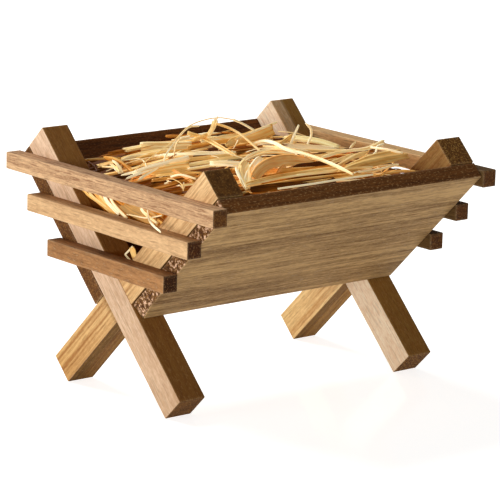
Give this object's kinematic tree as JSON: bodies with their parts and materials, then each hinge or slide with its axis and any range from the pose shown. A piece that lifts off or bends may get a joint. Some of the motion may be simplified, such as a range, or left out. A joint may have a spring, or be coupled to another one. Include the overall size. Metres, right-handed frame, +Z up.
{
  "type": "manger ornament",
  "caption": "Small wooden manger with crossed end legs, sloping side boards, slatted ends and a loose fill of straw that lifts out.",
  "frame": {"origin": "on the ground, under the middle of the manger's bounding box", "axes": "+X along the trough, -Y the front side that the picture shows, +Z up"},
  "size_m": [0.138, 0.126, 0.0958],
  "materials": {
    "leg_wood": "oiled brown hardwood, open pores",
    "board_wood": "oiled brown hardwood, long grain, open pores",
    "slat_wood": "oiled brown hardwood, fine grain",
    "straw": "dry straw, satin stalks"
  },
  "bodies": {
    "manger": {"left_leg_rising_front": "leg_wood", "left_leg_rising_back": "leg_wood", "right_leg_rising_front": "leg_wood", "right_leg_rising_back": "leg_wood", "left_top_slat": "slat_wood", "left_middle_slat": "slat_wood", "left_bottom_slat": "slat_wood", "right_top_slat": "slat_wood", "right_middle_slat": "slat_wood", "right_bottom_slat": "slat_wood", "front_side_board": "board_wood", "back_side_board": "board_wood", "floor_strip": "board_wood"},
    "straw": {"straw_bed": "straw", "straw_stalk_01": "straw", "straw_stalk_02": "straw", "straw_stalk_03": "straw", "straw_stalk_04": "straw", "straw_stalk_05": "straw", "straw_stalk_06": "straw", "straw_stalk_07": "straw", "straw_stalk_08": "straw", "straw_stalk_09": "straw", "straw_stalk_10": "straw", "straw_stalk_11": "straw", "straw_stalk_12": "straw", "straw_stalk_13": "straw", "straw_stalk_14": "straw", "straw_stalk_15": "straw", "straw_stalk_16": "straw", "straw_stalk_17": "straw", "straw_stalk_18": "straw", "straw_stalk_19": "straw", "straw_stalk_20": "straw", "straw_stalk_21": "straw", "straw_stalk_22": "straw", "straw_stalk_23": "straw", "straw_stalk_24": "straw", "straw_stalk_25": "straw", "straw_stalk_26": "straw", "straw_stalk_27": "straw", "straw_stalk_28": "straw", "straw_stalk_29": "straw", "straw_stalk_30": "straw", "straw_stalk_31": "straw", "straw_stalk_32": "straw", "straw_stalk_33": "straw", "straw_stalk_34": "straw", "straw_stalk_35": "straw"}
  },
  "joints": [
    {"name": "straw_lift", "type": "slide", "parent": "manger", "child": "straw", "axis": [0, 0, 1], "range_m": [0, 0.06]}
  ]
}
